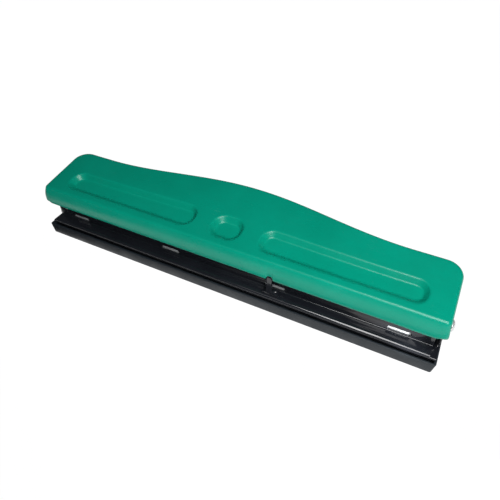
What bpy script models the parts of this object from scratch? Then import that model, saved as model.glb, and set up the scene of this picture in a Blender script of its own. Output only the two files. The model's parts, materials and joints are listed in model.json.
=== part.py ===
"""A long four-hole desk punch: pressed-steel handle, hat-section channel, four sprung pins, chip tray.

+X runs along the punch and +Y away from the paper side. The origin is under the middle of the punch,
on the surface that it stands on. Pieces that touch keep a gap of GAP between their meshes.
"""

import math

import bmesh
import bpy
from mathutils import Matrix, Vector

# Driving dimensions, in metres.
GAP = 0.0003
SHEET = 0.0012
OVERALL_DEPTH = 0.0623
FRONT_Y = -OVERALL_DEPTH / 2

HOLE_PITCH = 0.080
HOLE_COUNT = 4
PIN_RADIUS = 0.003
PIN_Y = FRONT_Y + 0.023

TRAY_HALF_LENGTH = 0.1446
TRAY_DEPTH = 0.0465
TRAY_HEIGHT = 0.0084
TRAY_WALL = 0.0014
TRAY_CORNER = 0.0012
TRAY_END_DRAFT = 0.0012
TRAY_SIDE_DRAFT = 0.0002

DIE_TOP_Z = TRAY_HEIGHT + GAP + SHEET
DIE_HALF_LENGTH = TRAY_HALF_LENGTH - 0.0010
DIE_FLANGE_Z = 0.0076
PAPER_SLOT = 0.0015
JAW_BOTTOM_Z = DIE_TOP_Z + PAPER_SLOT
JAW_TOP_Z = 0.0133
JAW_FRONT_Y = FRONT_Y + 0.0011
WALL_Y = FRONT_Y + 0.0093
ROOF_Z = 0.0235
PAPER_STOP_Y = FRONT_Y + 0.0348
FRAME_REAR_Y = FRONT_Y + 0.0440
CHANNEL_HALF_LENGTH = 0.1397
WINDOW_WIDTH = 0.0142
WINDOW_HEIGHT = 0.0034
WINDOW_Z = 0.0154

CHEEK_OUTER_X = 0.1435
CHEEK_JOGGLE = 0.0022
EAR_RADIUS = 0.0058

PIVOT_Y = FRONT_Y + 0.0115
PIVOT_Z = 0.0320
PIVOT_RADIUS = 0.0024
HANDLE_TILT = math.radians(8.44)
HANDLE_HALF_LENGTH = 0.144
# The next lengths are in the handle's own frame: along its panel from the pivot, and square to it.
PANEL_TOP = 0.0088
PANEL_FRONT = -0.0061
PANEL_REAR = 0.0393
REAR_BULGE = 0.0125
REAR_BULGE_HALF_WIDTH = 0.115
BEND_RADIUS = 0.0025
FRONT_CORNER_RADIUS = 0.0030
REAR_CORNER_RADIUS = 0.0110
LIP_DROP = 0.01207
LIP_FLARE = 0.332
LIP_END_RADIUS = 0.0065
RIM_DROP = 0.0060
EAR_DROP = 0.0078
EAR_SPREAD = 0.0070
NOTCH_X = 0.0385
NOTCH_RADIUS = 0.0024

RECESS_NEAR = 0.0050
RECESS_FAR = 0.0250
RECESS_FAR_BULGE = 0.0020
RECESS_CORNER = 0.0090
RECESS_DEPTH = 0.0038
NEAR_WALL_STRETCH = 0.5
RECESS_SPANS = ((-0.130, -0.023), (-0.012, 0.012), (0.023, 0.130))

HEAD_TOP_Z = 0.0366
HEAD_RADIUS = 0.0042
PIN_TIP_Z = JAW_BOTTOM_Z + 0.0002
SPRING_TURNS = 5.5
SPRING_RADIUS = 0.0042
SPRING_WIRE = 0.0004


def clear_scene():
    for obj in list(bpy.data.objects):
        bpy.data.objects.remove(obj, do_unlink=True)


def new_collection(name):
    collection = bpy.data.collections.new(name)
    bpy.context.scene.collection.children.link(collection)
    return collection


clear_scene()
PARTS = new_collection("hole_punch")
CUTTERS = new_collection("cutters")


def finish(name, color, roughness, metallic):
    material = bpy.data.materials.new(name)
    material.use_nodes = True
    shader = material.node_tree.nodes["Principled BSDF"]
    shader.inputs["Base Color"].default_value = (*color, 1.0)
    shader.inputs["Roughness"].default_value = roughness
    shader.inputs["Metallic"].default_value = metallic
    material.diffuse_color = (*color, 1.0)
    return material


GREEN_PAINT = finish("green_paint", (0.0, 0.33, 0.22), 0.30, 0.0)
BLACK_PAINT = finish("black_paint", (0.012, 0.013, 0.016), 0.15, 0.0)
TRAY_PLASTIC = finish("tray_plastic", (0.030, 0.035, 0.040), 0.45, 0.0)
NICKEL = finish("nickel_plate", (0.75, 0.75, 0.74), 0.22, 1.0)
TOOL_STEEL = finish("tool_steel", (0.55, 0.55, 0.56), 0.25, 1.0)
SPRING_STEEL = finish("spring_steel", (0.62, 0.61, 0.58), 0.30, 1.0)
WHITE_NYLON = finish("white_nylon", (0.80, 0.79, 0.75), 0.45, 0.0)


def add_piece(name, mesh, material, location=(0, 0, 0), parent=None):
    obj = bpy.data.objects.new(name, mesh)
    PARTS.objects.link(obj)
    obj.location = location
    obj.parent = parent
    if not mesh.materials:
        mesh.materials.append(material)
    return obj


def add_cutter(name, mesh, location=(0, 0, 0)):
    obj = bpy.data.objects.new(name, mesh)
    CUTTERS.objects.link(obj)
    obj.location = location
    obj.hide_render = True
    obj.display_type = "WIRE"
    return obj


def apply_boolean(obj, other, operation):
    modifier = obj.modifiers.new(other.name, "BOOLEAN")
    modifier.operation = operation
    modifier.object = other
    modifier.solver = "EXACT"


def smooth(mesh, angle=35):
    mesh.shade_smooth()
    mesh.set_sharp_from_angle(angle=math.radians(angle))


def mesh_from(bm, name):
    mesh = bpy.data.meshes.new(name)
    bmesh.ops.recalc_face_normals(bm, faces=bm.faces)
    bm.to_mesh(mesh)
    bm.free()
    return mesh


def add_box(bm, low, high):
    low = Vector(low)
    high = Vector(high)
    size = high - low
    place = Matrix.Translation((low + high) / 2) @ Matrix.Diagonal((*size, 1))
    return bmesh.ops.create_cube(bm, size=1, matrix=place)["verts"]


def add_rod(bm, radius, start, end, segments=20):
    start = Vector(start)
    end = Vector(end)
    turn = (end - start).to_track_quat("Z", "Y").to_matrix().to_4x4()
    bmesh.ops.create_cone(
        bm,
        cap_ends=True,
        segments=segments,
        radius1=radius,
        radius2=radius,
        depth=(end - start).length,
        matrix=Matrix.Translation((start + end) / 2) @ turn,
    )


def fillet(points, radius, steps=3):
    """The open line of points with each inner corner replaced by an arc."""
    line = [Vector(points[0])]
    for before, corner, after in zip(points, points[1:], points[2:]):
        corner = Vector(corner)
        back = (Vector(before) - corner).normalized()
        on = (Vector(after) - corner).normalized()
        half_angle = back.angle(on) / 2
        centre = corner + (back + on).normalized() * (radius / math.sin(half_angle))
        first = corner + back * (radius / math.tan(half_angle)) - centre
        last = corner + on * (radius / math.tan(half_angle)) - centre
        for step in range(steps + 1):
            share = step / steps
            line.append(centre + first.slerp(last, share, first) * radius)
    line.append(Vector(points[-1]))
    return line


def sheet_outline(path, bend, thickness=SHEET, steps=3):
    """Closed outline of folded sheet whose middle line is the path."""
    line = fillet(path, bend, steps)
    left = []
    right = []
    for index, point in enumerate(line):
        before = line[max(index - 1, 0)]
        after = line[min(index + 1, len(line) - 1)]
        along = (after - before).normalized()
        side = Vector((-along.y, along.x)) * thickness / 2
        left.append(point + side)
        right.append(point - side)
    return left + right[::-1]


def arc(centre, radius, start, end, steps):
    """Points on an arc, with its angles in degrees."""
    points = []
    for step in range(steps + 1):
        angle = math.radians(start + (end - start) * step / steps)
        points.append(Vector((centre[0] + radius * math.cos(angle), centre[1] + radius * math.sin(angle))))
    return points


def extruded(name, loops, thickness, place):
    """Mesh of flat outlines, extruded evenly to both sides and put in place by a matrix."""
    curve = bpy.data.curves.new(name, "CURVE")
    curve.dimensions = "2D"
    curve.fill_mode = "BOTH"
    curve.extrude = thickness / 2
    for loop in loops:
        spline = curve.splines.new("POLY")
        spline.points.add(len(loop) - 1)
        for point, corner in zip(spline.points, loop):
            point.co = (corner[0], corner[1], 0, 1)
        spline.use_cyclic_u = True
    guide = bpy.data.objects.new(name, curve)
    CUTTERS.objects.link(guide)
    bpy.context.view_layer.update()
    evaluated = guide.evaluated_get(bpy.context.evaluated_depsgraph_get())
    mesh = bpy.data.meshes.new_from_object(evaluated)
    bpy.data.objects.remove(guide)
    bm = bmesh.new()
    bm.from_mesh(mesh)
    bpy.data.meshes.remove(mesh)
    bmesh.ops.remove_doubles(bm, verts=bm.verts, dist=1e-6)
    bmesh.ops.transform(bm, matrix=place, verts=bm.verts)
    return mesh_from(bm, name)


def along_x(x=0.0):
    """Puts an outline drawn in (y, z) square to the X axis, at x."""
    return Matrix(((0, 0, 1, x), (1, 0, 0, 0), (0, 1, 0, 0), (0, 0, 0, 1)))


def facing_front(y=0.0):
    """Puts an outline drawn in (x, z) square to the Y axis, at y."""
    return Matrix(((1, 0, 0, 0), (0, 0, 1, y), (0, 1, 0, 0), (0, 0, 0, 1)))


def turned(name, profile, steps=16):
    """Solid of revolution about Z. The profile starts and ends on the axis and runs from top to bottom."""
    mesh = bpy.data.meshes.new(name)
    points = [(radius, 0, height) for radius, height in profile]
    edges = [(index, index + 1) for index in range(len(points) - 1)]
    mesh.from_pydata(points, edges, [])
    return mesh, steps


def add_turned(name, shape, material, location, rotation=(0, 0, 0)):
    mesh, steps = shape
    obj = add_piece(name, mesh, material, location)
    obj.rotation_euler = rotation
    modifier = obj.modifiers.new("turn", "SCREW")
    modifier.axis = "Z"
    modifier.steps = steps
    modifier.render_steps = steps
    modifier.use_merge_vertices = True
    modifier.merge_threshold = 1e-5
    modifier.use_smooth_shade = True
    return obj


def rivet_profile(head, shank, grip, head_height):
    """A round head with its seat at height 0, a shank down through the grip, and a flatter formed tail."""
    dome = [(head * math.sin(turn), head_height * math.cos(turn)) for turn in (0, 0.8)]
    tail_bottom = -grip - 0.55 * head_height
    return [*dome, (head, 0), (shank, 0), (shank, -grip), (head * 0.85, -grip), (0, tail_bottom)]


def hole_places():
    first = -HOLE_PITCH * (HOLE_COUNT - 1) / 2
    return [first + HOLE_PITCH * index for index in range(HOLE_COUNT)]


RIVET_XS = (-0.112, -0.056, 0.0, 0.056, 0.112)
CHANNEL_RIVET_Y = FRONT_Y + 0.0400
BRACKET_RIVET_Y = PIN_Y - 0.0070
BRACKET_RIVET_DX = 0.0052
STOP_RIVET_PLACE = (NOTCH_X + 0.0030, FRONT_Y + 0.0066)
CHEEK_RIVET_X = 0.1350


# ---------------------------------------------------------------- base


def build_chip_tray():
    """Moulded tub with drafted walls, open at the top. The punch stands on its floor."""
    bm = bmesh.new()
    shell = add_box(
        bm,
        (-TRAY_HALF_LENGTH, FRONT_Y, 0),
        (TRAY_HALF_LENGTH, FRONT_Y + TRAY_DEPTH, TRAY_HEIGHT),
    )
    middle_y = FRONT_Y + TRAY_DEPTH / 2
    for vert in shell:
        if vert.co.z < TRAY_HEIGHT / 2:
            vert.co.x -= math.copysign(TRAY_END_DRAFT, vert.co.x)
            vert.co.y -= math.copysign(TRAY_SIDE_DRAFT, vert.co.y - middle_y)
    upright = [edge for edge in bm.edges if abs(edge.verts[0].co.z - edge.verts[1].co.z) > TRAY_HEIGHT / 2]
    bmesh.ops.bevel(bm, geom=upright, offset=TRAY_CORNER, segments=2, profile=0.5, affect="EDGES")
    floor_rim = [edge for edge in bm.edges if max(vert.co.z for vert in edge.verts) < 1e-6]
    bmesh.ops.bevel(bm, geom=floor_rim, offset=0.0008, segments=1, profile=0.5, affect="EDGES")
    tray = add_piece("chip_tray", mesh_from(bm, "chip_tray"), TRAY_PLASTIC)

    hollow = bmesh.new()
    inner = add_box(
        hollow,
        (-TRAY_HALF_LENGTH + TRAY_WALL, FRONT_Y + TRAY_WALL, TRAY_WALL),
        (TRAY_HALF_LENGTH - TRAY_WALL, FRONT_Y + TRAY_DEPTH - TRAY_WALL, TRAY_HEIGHT + 0.002),
    )
    for vert in inner:
        if vert.co.z < TRAY_HEIGHT / 2:
            vert.co.x -= math.copysign(TRAY_END_DRAFT, vert.co.x)
            vert.co.y -= math.copysign(TRAY_SIDE_DRAFT, vert.co.y - middle_y)
    apply_boolean(tray, add_cutter("tray_hollow", mesh_from(hollow, "tray_hollow")), "DIFFERENCE")


def build_die_plate():
    """Lower jaw: a plate with a die hole under each pin and a flange turned down along each edge."""
    middle_z = DIE_TOP_Z - SHEET / 2
    front = FRONT_Y + 0.0035
    rear = FRONT_Y + 0.0441
    section = sheet_outline(
        [(front, DIE_FLANGE_Z), (front, middle_z), (rear, middle_z), (rear, DIE_FLANGE_Z)],
        bend=0.0008,
    )
    mesh = extruded("die_plate", [section], 2 * DIE_HALF_LENGTH, along_x())
    plate = add_piece("die_plate", mesh, BLACK_PAINT)
    ends = bmesh.new()
    for side in (-1, 1):
        inner_x, outer_x = sorted((side * (DIE_HALF_LENGTH - 0.0025), side * (DIE_HALF_LENGTH + 0.001)))
        low = (inner_x, FRONT_Y, DIE_FLANGE_Z - 0.001)
        add_box(ends, low, (outer_x, FRAME_REAR_Y + 0.002, DIE_TOP_Z - SHEET))
    apply_boolean(plate, add_cutter("die_ends", mesh_from(ends, "die_ends")), "DIFFERENCE")
    holes = bmesh.new()
    for x in hole_places():
        add_rod(holes, PIN_RADIUS + GAP / 2, (x, PIN_Y, 0.004), (x, PIN_Y, 0.014))
    for x in (-CHEEK_RIVET_X, *RIVET_XS, CHEEK_RIVET_X):
        add_rod(holes, 0.0018, (x, CHANNEL_RIVET_Y, 0.004), (x, CHANNEL_RIVET_Y, 0.014), 12)
    apply_boolean(plate, add_cutter("die_holes", mesh_from(holes, "die_holes")), "DIFFERENCE")


def build_channel():
    """Hat section: upper jaw with a turned-down lip, windowed wall, roof, paper stop and rear flange."""
    half = SHEET / 2
    lip_y = JAW_FRONT_Y + half
    wall_y = WALL_Y + half
    stop_y = PAPER_STOP_Y + half
    flange_z = DIE_TOP_Z + GAP + half
    section = sheet_outline(
        [
            (lip_y, JAW_BOTTOM_Z),
            (lip_y, JAW_TOP_Z - half),
            (wall_y, JAW_TOP_Z - half),
            (wall_y, ROOF_Z - half),
            (stop_y, ROOF_Z - half),
            (stop_y, flange_z),
            (FRAME_REAR_Y, flange_z),
        ],
        bend=0.0012,
    )
    mesh = extruded("channel", [section], 2 * CHANNEL_HALF_LENGTH, along_x())
    channel = add_piece("channel", mesh, BLACK_PAINT)

    holes = bmesh.new()
    for x in hole_places():
        add_rod(holes, PIN_RADIUS + 2 * GAP, (x, PIN_Y, ROOF_Z - 0.004), (x, PIN_Y, ROOF_Z + 0.004))
        for dx in (-BRACKET_RIVET_DX, BRACKET_RIVET_DX):
            low = (x + dx, BRACKET_RIVET_Y, ROOF_Z - 0.004)
            add_rod(holes, 0.0015, low, (low[0], low[1], ROOF_Z + 0.004), 12)
    for x in (-CHEEK_RIVET_X, *RIVET_XS, CHEEK_RIVET_X):
        add_rod(holes, 0.0018, (x, CHANNEL_RIVET_Y, 0.004), (x, CHANNEL_RIVET_Y, 0.016), 12)
    stop_x, stop_y = STOP_RIVET_PLACE
    add_rod(holes, 0.0015, (stop_x, stop_y, 0.004), (stop_x, stop_y, 0.018), 12)
    apply_boolean(channel, add_cutter("channel_holes", mesh_from(holes, "channel_holes")), "DIFFERENCE")

    radius = 0.0010
    for number, x in enumerate(hole_places(), 1):
        right = WINDOW_WIDTH / 2 - radius
        top = WINDOW_HEIGHT / 2 - radius
        outline = []
        for quarter, (side, level) in enumerate(((1, 1), (-1, 1), (-1, -1), (1, -1))):
            centre = (x + side * right, WINDOW_Z + level * top)
            outline += arc(centre, radius, 90 * quarter, 90 * quarter + 90, 3)
        window = extruded(f"window_{number}", [outline], 0.004, facing_front(WALL_Y + half))
        apply_boolean(channel, add_cutter(f"window_{number}", window), "DIFFERENCE")


def build_end_cheek(name, side):
    """End plate of the channel. Its upper part is set inward and ends in the ear that carries the handle."""
    front = FRONT_Y + 0.0019
    step_low = 0.0190
    step_high = step_low + CHEEK_JOGGLE
    outer = CHEEK_OUTER_X - SHEET / 2
    inner = outer - CHEEK_JOGGLE
    foot_z = DIE_TOP_Z + 2 * GAP + 1.5 * SHEET
    strip = sheet_outline(
        [(0.1310, foot_z), (outer, foot_z), (outer, step_low), (inner, step_high), (inner, 0.0395)],
        bend=0.0010,
    )
    strip = [(side * x, z) for x, z in strip]
    depth = FRAME_REAR_Y - front
    mesh = extruded(name, [strip], depth, facing_front((front + FRAME_REAR_Y) / 2))
    cheek = add_piece(name, mesh, BLACK_PAINT)

    ear = arc((PIVOT_Y, PIVOT_Z), EAR_RADIUS, 62, 190, 8)
    outline = [
        (FRONT_Y + 0.0102, JAW_BOTTOM_Z),
        (PAPER_STOP_Y, JAW_BOTTOM_Z),
        (PAPER_STOP_Y, DIE_TOP_Z),
        (FRAME_REAR_Y, DIE_TOP_Z),
        (FRAME_REAR_Y, 0.0190),
        (FRAME_REAR_Y - 0.0030, 0.0222),
        (PAPER_STOP_Y - 0.0020, 0.0245),
        *ear,
        (FRONT_Y + 0.0072, 0.0255),
        (FRONT_Y + 0.0096, 0.0210),
        (FRONT_Y + 0.0128, 0.0166),
        (FRONT_Y + 0.0123, 0.0130),
        (FRONT_Y + 0.0112, 0.0118),
    ]
    keep = extruded(f"{name}_outline", [outline], 0.020, along_x(side * 0.138))
    apply_boolean(cheek, add_cutter(f"{name}_outline", keep), "INTERSECT")

    relief = bmesh.new()
    inner_x = CHEEK_OUTER_X - SHEET
    edges = sorted((side * 0.125, side * inner_x))
    add_box(
        relief,
        (edges[0], front - 0.002, DIE_TOP_Z - 0.002),
        (edges[1], PAPER_STOP_Y + SHEET + GAP, JAW_TOP_Z + 0.0012),
    )
    apply_boolean(cheek, add_cutter(f"{name}_relief", mesh_from(relief, f"{name}_relief")), "DIFFERENCE")

    holes = bmesh.new()
    low = (side * 0.136, PIVOT_Y, PIVOT_Z)
    add_rod(holes, PIVOT_RADIUS + GAP, low, (side * 0.146, PIVOT_Y, PIVOT_Z))
    x = side * CHEEK_RIVET_X
    add_rod(holes, 0.0018, (x, CHANNEL_RIVET_Y, 0.006), (x, CHANNEL_RIVET_Y, 0.016), 12)
    apply_boolean(cheek, add_cutter(f"{name}_holes", mesh_from(holes, f"{name}_holes")), "DIFFERENCE")


def build_handle_stop():
    """Upright tab riveted to the upper jaw. Its round top sits in the notch of the handle's lip at rest."""
    foot_z = JAW_TOP_Z + GAP
    half_foot = 0.0060
    half_tab = NOTCH_RADIUS - 0.0005
    tab_y = FRONT_Y + 0.0034
    top = 0.0290 - half_tab
    shoulder = foot_z + SHEET
    outline = [
        (NOTCH_X - half_foot + 0.001, foot_z),
        (NOTCH_X + half_foot, foot_z),
        (NOTCH_X + half_foot, shoulder),
        (NOTCH_X + half_tab, shoulder + 0.0022),
        *arc((NOTCH_X, top), half_tab, 0, 180, 8),
        (NOTCH_X - half_tab, shoulder + 0.0010),
        (NOTCH_X - half_foot + 0.001, shoulder),
    ]
    stop = add_piece("handle_stop", extruded("handle_stop", [outline], SHEET, facing_front(tab_y)), BLACK_PAINT)
    foot = bmesh.new()
    add_box(
        foot,
        (NOTCH_X - half_foot + 0.001, tab_y, foot_z),
        (NOTCH_X + half_foot, WALL_Y - 0.0010, shoulder),
    )
    apply_boolean(stop, add_cutter("stop_foot", mesh_from(foot, "stop_foot")), "UNION")
    hole = bmesh.new()
    x, y = STOP_RIVET_PLACE
    add_rod(hole, 0.0015, (x, y, foot_z - 0.002), (x, y, foot_z + 0.004), 12)
    apply_boolean(stop, add_cutter("stop_hole", mesh_from(hole, "stop_hole")), "DIFFERENCE")


# ---------------------------------------------------------------- punch units


BRACKET_LOW_Z = JAW_BOTTOM_Z + 0.0006
BRACKET_HIGH_Z = ROOF_Z - SHEET - GAP
BRACKET_FRONT_Y = WALL_Y + SHEET + GAP
BRACKET_WIDTH = 0.0170


def bracket_mesh():
    """Bent guide with a front web and two arms, each with a hole for the pin."""
    half = SHEET / 2
    section = sheet_outline(
        [
            (PIN_Y + 0.0062, BRACKET_LOW_Z + half),
            (BRACKET_FRONT_Y + half, BRACKET_LOW_Z + half),
            (BRACKET_FRONT_Y + half, BRACKET_HIGH_Z - half),
            (PIN_Y + 0.0062, BRACKET_HIGH_Z - half),
        ],
        bend=0.0010,
    )
    return extruded("guide_bracket", [section], BRACKET_WIDTH, along_x())


def pin_profile():
    """Flat-crowned head, shank with a groove for the clip, and a hollow tip, with heights from the head's top."""
    groove = BRACKET_HIGH_Z - SHEET - GAP - HEAD_TOP_Z
    tip = PIN_TIP_Z - HEAD_TOP_Z
    crown = [(HEAD_RADIUS * share, -0.0014 * share * share) for share in (0, 0.4, 0.75, 1.0)]
    return [
        *crown,
        (HEAD_RADIUS, -0.0020),
        (PIN_RADIUS, -0.0020),
        (PIN_RADIUS, groove),
        (PIN_RADIUS - 0.0006, groove),
        (PIN_RADIUS - 0.0006, groove - 0.0012),
        (PIN_RADIUS, groove - 0.0012),
        (PIN_RADIUS, tip),
        (0, tip + 0.0012),
    ]


def clip_mesh():
    """Retaining clip: an open ring."""
    outer = arc((0, 0), 0.0047, 120, 420, 14)
    inner = arc((0, 0), PIN_RADIUS - 0.0006 + GAP, 420, 120, 14)
    return extruded("retaining_clip", [[*outer, *inner]], 0.0006, Matrix.Identity(4))


def spring_curve():
    """Coil standing on the channel's roof, up to the underside of the pin's head."""
    low = ROOF_Z + GAP + SPRING_WIRE
    high = HEAD_TOP_Z - 0.0020 - GAP - SPRING_WIRE
    points_per_turn = 8
    count = round(SPRING_TURNS * points_per_turn) + 1
    curve = bpy.data.curves.new("return_spring", "CURVE")
    curve.dimensions = "3D"
    curve.bevel_depth = SPRING_WIRE
    curve.bevel_resolution = 2
    curve.use_fill_caps = True
    spline = curve.splines.new("POLY")
    spline.points.add(count - 1)
    for index, point in enumerate(spline.points):
        angle = math.tau * index / points_per_turn
        height = low + (high - low) * index / (count - 1)
        point.co = (SPRING_RADIUS * math.cos(angle), SPRING_RADIUS * math.sin(angle), height, 1)
    return curve


def build_punch_units():
    bracket = bracket_mesh()
    pin = turned("punch_pin", pin_profile(), 16)
    clip = clip_mesh()
    coil = spring_curve()
    clip_z = BRACKET_HIGH_Z - SHEET - GAP - 0.0006
    for number, x in enumerate(hole_places(), 1):
        guide = add_piece(f"guide_bracket_{number}", bracket, NICKEL, (x, 0, 0))
        holes = bmesh.new()
        add_rod(holes, PIN_RADIUS + GAP / 2, (x, PIN_Y, 0.008), (x, PIN_Y, ROOF_Z + 0.002))
        for dx in (-BRACKET_RIVET_DX, BRACKET_RIVET_DX):
            low = (x + dx, BRACKET_RIVET_Y, BRACKET_HIGH_Z - 0.004)
            add_rod(holes, 0.0015, low, (low[0], low[1], ROOF_Z + 0.002), 12)
        cutter = add_cutter(f"bracket_holes_{number}", mesh_from(holes, f"bracket_holes_{number}"))
        apply_boolean(guide, cutter, "DIFFERENCE")

        add_turned(f"punch_pin_{number}", pin, TOOL_STEEL, (x, PIN_Y, HEAD_TOP_Z))
        add_piece(f"retaining_clip_{number}", clip, SPRING_STEEL, (x, PIN_Y, clip_z))
        add_piece(f"return_spring_{number}", coil, SPRING_STEEL, (x, PIN_Y, 0))


# ---------------------------------------------------------------- handle


def bell(x, half_width):
    """Raised cosine: 1 in the middle, 0 from half_width outward."""
    if abs(x) >= half_width:
        return 0.0
    return 0.5 + 0.5 * math.cos(math.pi * x / half_width)


def lip_drop(x):
    """How far the front lip hangs below the panel's top, with round lower ends and the stop's notch."""
    drop = LIP_DROP
    past = abs(x) - (HANDLE_HALF_LENGTH - LIP_END_RADIUS)
    if past > 0:
        drop -= LIP_END_RADIUS - math.sqrt(max(LIP_END_RADIUS**2 - past**2, 0))
    aside = abs(x - NOTCH_X)
    if aside < NOTCH_RADIUS:
        drop -= math.sqrt(NOTCH_RADIUS**2 - aside**2)
    return drop


def lip_share(normal):
    """How far the rim at this normal angle belongs to the flared lip: 1 in front, 0 at the sides."""
    share = min(max((-math.sin(normal) - 0.35) / 0.45, 0.0), 1.0)
    return share * share * (3 - 2 * share)


def side_drop(v):
    """How far a side flange hangs: a rim that swells into an ear round the pivot."""
    return RIM_DROP + EAR_DROP * math.exp(-(((v - 0.001) / EAR_SPREAD) ** 2))


def rear_edge(x):
    """Rear outline of the panel: its place and the angle of its outward normal."""
    v = PANEL_REAR + REAR_BULGE * bell(x, REAR_BULGE_HALF_WIDTH)
    step = 1e-5
    ahead = PANEL_REAR + REAR_BULGE * bell(x + step, REAR_BULGE_HALF_WIDTH)
    return v, math.atan2(step, v - ahead)


def right_rim():
    """Half of the handle's rim, from its front middle to its rear middle: (x, v, drop, normal angle)."""
    rim = []
    half = HANDLE_HALF_LENGTH
    front = math.radians(-90)
    corner = FRONT_CORNER_RADIUS
    for x in (0.0, 0.020, 0.060, 0.090, 0.120, half - LIP_END_RADIUS):
        rim.append((x, PANEL_FRONT, lip_drop(x), front))
    x = half - LIP_END_RADIUS * 0.70
    rim.append((x, PANEL_FRONT, lip_drop(x), front))
    first = lip_drop(half - corner)
    last = side_drop(PANEL_FRONT + corner)
    for step, point in enumerate(arc((half - corner, PANEL_FRONT + corner), corner, -90, 0, 4)):
        rim.append((point.x, point.y, first + (last - first) * step / 4, math.radians(22.5 * step - 90)))
    for v in (-0.0010, 0.0010, 0.0035, 0.0070, 0.0110, 0.0180):
        rim.append((half, v, side_drop(v), 0.0))
    corner = REAR_CORNER_RADIUS
    for step, point in enumerate(arc((half - corner, PANEL_REAR - corner), corner, 0, 90, 6)):
        rim.append((point.x, point.y, RIM_DROP, math.radians(15 * step)))
    for step in range(1, 13):
        x = REAR_BULGE_HALF_WIDTH * (1 - step / 12)
        v, normal = rear_edge(x)
        rim.append((x, v, RIM_DROP, normal))
    return rim


def full_rim():
    """The whole rim, counter-clockwise from the middle of the front, with the notch's points put in."""
    right = right_rim()
    left = [(-x, v, drop, math.pi - normal) for x, v, drop, normal in right[-2:0:-1]]
    notch = []
    for step in range(9):
        x = NOTCH_X - NOTCH_RADIUS * math.cos(math.pi * step / 8)
        notch.append((x, PANEL_FRONT, lip_drop(x), math.radians(-90)))
    return right[:2] + notch + right[2:] + left


def rim_rings():
    """Rings of points from the panel's edge, round the bend, down to the flange's lower edge."""
    rim = full_rim()
    rings = []
    for degrees in (0, 30, 60, 90):
        angle = math.radians(degrees)
        inset = BEND_RADIUS * (1 - math.sin(angle))
        height = PANEL_TOP - BEND_RADIUS * (1 - math.cos(angle))
        ring = []
        for x, v, _, normal in rim:
            ring.append((x - math.cos(normal) * inset, v - math.sin(normal) * inset, height))
        rings.append(ring)
    hem = []
    for x, v, drop, normal in rim:
        flare = LIP_FLARE * lip_share(normal) * (drop - BEND_RADIUS)
        hem.append((x + math.cos(normal) * flare, v + math.sin(normal) * flare, PANEL_TOP - drop))
    rings.append(hem)
    return rings


def recess_ring(span, inset, depth):
    """One ring of a pressed recess. Its far side follows the handle's rear edge, its near wall is gentler."""
    left, right = span
    radius = RECESS_CORNER - inset
    near = RECESS_NEAR + RECESS_CORNER
    far = RECESS_FAR - RECESS_CORNER
    points = []
    corners = (
        (right - RECESS_CORNER, near, -90),
        (right - RECESS_CORNER, far, 0),
        (left + RECESS_CORNER, far, 90),
        (left + RECESS_CORNER, near, 180),
    )
    for x, v, start in corners:
        points += arc((x, v), radius, start, start + 90, 4)
        if start == 0 and right - left > 0.05:
            for share in (0.2, 0.4, 0.6, 0.8):
                middle_x = right - RECESS_CORNER + (left - right + 2 * RECESS_CORNER) * share
                points.append(Vector((middle_x, far + radius)))
    ring = []
    for point in points:
        reach = (point.y - RECESS_NEAR) / (RECESS_FAR - RECESS_NEAR)
        spread = RECESS_FAR_BULGE * bell(point.x, REAR_BULGE_HALF_WIDTH) * reach
        spread += NEAR_WALL_STRETCH * inset * (1 - reach)
        ring.append((point.x, PANEL_FRONT + point.y + spread, PANEL_TOP - depth))
    return ring


def add_band(bm, upper, lower):
    """Quads between two rings of the same number of points."""
    for index in range(len(upper)):
        beyond = (index + 1) % len(upper)
        bm.faces.new((upper[index], lower[index], lower[beyond], upper[beyond]))


def add_rings(bm, rings):
    """Joins each ring to the next and returns the vertices of the first and the last."""
    made = [[bm.verts.new(point) for point in ring] for ring in rings]
    for upper, lower in zip(made, made[1:]):
        add_band(bm, upper, lower)
    return made[0], made[-1]


def ring_edges(bm, ring):
    edges = []
    for index, vert in enumerate(ring):
        other = ring[(index + 1) % len(ring)]
        edges.append(bm.edges.get((vert, other)) or bm.edges.new((vert, other)))
    return edges


def build_handle():
    """Pressed sheet: flat panel with three recesses, a flared front lip, and a turned-down rim."""
    bm = bmesh.new()
    panel_edge, _ = add_rings(bm, rim_rings())
    open_edges = ring_edges(bm, panel_edge)
    steps = ((0.0, 0.0), (0.0012, 0.0004), (0.0038, 0.0034), (0.0050, RECESS_DEPTH))
    for span in RECESS_SPANS:
        rings = [recess_ring(span, inset, depth) for inset, depth in steps]
        brink, floor = add_rings(bm, rings)
        open_edges += ring_edges(bm, brink)
        bmesh.ops.triangle_fill(bm, use_beauty=True, edges=ring_edges(bm, floor))
    bmesh.ops.triangle_fill(bm, use_beauty=True, edges=open_edges)
    mesh = mesh_from(bm, "handle")
    if sum(face.normal.z * face.area for face in mesh.polygons) < 0:
        mesh.flip_normals()
    smooth(mesh)

    axis = bpy.data.objects.new("handle_axis", None)
    PARTS.objects.link(axis)
    axis.location = (0, PIVOT_Y, PIVOT_Z)
    axis.rotation_euler = (HANDLE_TILT, 0, 0)
    handle = add_piece("handle", mesh, GREEN_PAINT, parent=axis)
    shell = handle.modifiers.new("sheet", "SOLIDIFY")
    shell.thickness = SHEET
    shell.offset = -1
    shell.use_even_offset = True
    holes = bmesh.new()
    for side in (-1, 1):
        low = (side * 0.140, PIVOT_Y, PIVOT_Z)
        add_rod(holes, PIVOT_RADIUS + GAP, low, (side * 0.148, PIVOT_Y, PIVOT_Z))
    apply_boolean(handle, add_cutter("handle_holes", mesh_from(holes, "handle_holes")), "DIFFERENCE")


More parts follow.
